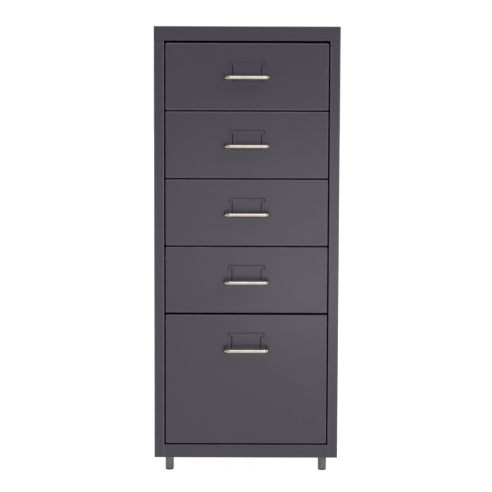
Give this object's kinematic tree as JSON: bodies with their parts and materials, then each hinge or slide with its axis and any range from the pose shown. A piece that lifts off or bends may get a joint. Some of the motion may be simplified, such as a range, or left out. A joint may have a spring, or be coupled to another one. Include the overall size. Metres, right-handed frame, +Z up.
{
  "type": "drawer cabinet",
  "caption": "Tall narrow steel drawer cabinet on stub feet, with wire handles, pressed label holders and a deep bottom drawer.",
  "frame": {"origin": "on the floor, under the middle of the overall box, which includes the handles in front and the screw heads behind", "axes": "+X to the right when facing the drawers, +Y from the fronts to the back, +Z up"},
  "size_m": [0.28, 0.43, 0.68],
  "materials": {
    "slate_paint": "satin slate-grey powder coat",
    "inner_paint": "satin slate-grey powder coat, thinner inside",
    "nickel": "polished nickel plate",
    "zinc": "bright zinc plate",
    "foot_metal": "turned steel, dull zinc plate",
    "nylon": "natural nylon",
    "black_plastic": "moulded polyethylene"
  },
  "bodies": {
    "cabinet": {"side_panel_left": "slate_paint", "side_panel_right": "slate_paint", "back_panel": "slate_paint", "top_panel": "slate_paint", "base_panel": "slate_paint", "foot_rail_left": "inner_paint", "foot_rail_right": "inner_paint", "back_screws": "zinc", "foot_studs": "zinc", "runner_pads": "nylon", "foot_front_left": "foot_metal", "foot_front_right": "foot_metal", "foot_rear_left": "foot_metal", "foot_rear_right": "foot_metal", "glide_front_left": "black_plastic", "glide_front_right": "black_plastic", "glide_rear_left": "black_plastic", "glide_rear_right": "black_plastic", "runner_left_1": "inner_paint", "runner_left_2": "inner_paint", "runner_left_3": "inner_paint", "runner_left_4": "inner_paint", "runner_left_5": "inner_paint", "runner_right_1": "inner_paint", "runner_right_2": "inner_paint", "runner_right_3": "inner_paint", "runner_right_4": "inner_paint", "runner_right_5": "inner_paint"},
    "drawer_1": {"drawer_1_front": "slate_paint", "drawer_1_tray": "inner_paint", "drawer_1_handle": "nickel", "drawer_1_handle_screws": "zinc", "drawer_1_tray_screws": "zinc", "drawer_1_shoes": "nylon"},
    "drawer_2": {"drawer_2_front": "slate_paint", "drawer_2_tray": "inner_paint", "drawer_2_handle": "nickel", "drawer_2_handle_screws": "zinc", "drawer_2_tray_screws": "zinc", "drawer_2_shoes": "nylon"},
    "drawer_3": {"drawer_3_front": "slate_paint", "drawer_3_tray": "inner_paint", "drawer_3_handle": "nickel", "drawer_3_handle_screws": "zinc", "drawer_3_tray_screws": "zinc", "drawer_3_shoes": "nylon"},
    "drawer_4": {"drawer_4_front": "slate_paint", "drawer_4_tray": "inner_paint", "drawer_4_handle": "nickel", "drawer_4_handle_screws": "zinc", "drawer_4_tray_screws": "zinc", "drawer_4_shoes": "nylon"},
    "drawer_5": {"drawer_5_front": "slate_paint", "drawer_5_tray": "inner_paint", "drawer_5_handle": "nickel", "drawer_5_handle_screws": "zinc", "drawer_5_tray_screws": "zinc", "drawer_5_shoes": "nylon"}
  },
  "joints": [
    {"name": "drawer_1_slide", "type": "slide", "parent": "cabinet", "child": "drawer_1", "axis": [0, -1, 0], "range_m": [0, 0.3]},
    {"name": "drawer_2_slide", "type": "slide", "parent": "cabinet", "child": "drawer_2", "axis": [0, -1, 0], "range_m": [0, 0.3]},
    {"name": "drawer_3_slide", "type": "slide", "parent": "cabinet", "child": "drawer_3", "axis": [0, -1, 0], "range_m": [0, 0.3]},
    {"name": "drawer_4_slide", "type": "slide", "parent": "cabinet", "child": "drawer_4", "axis": [0, -1, 0], "range_m": [0, 0.3]},
    {"name": "drawer_5_slide", "type": "slide", "parent": "cabinet", "child": "drawer_5", "axis": [0, -1, 0], "range_m": [0, 0.3]}
  ]
}
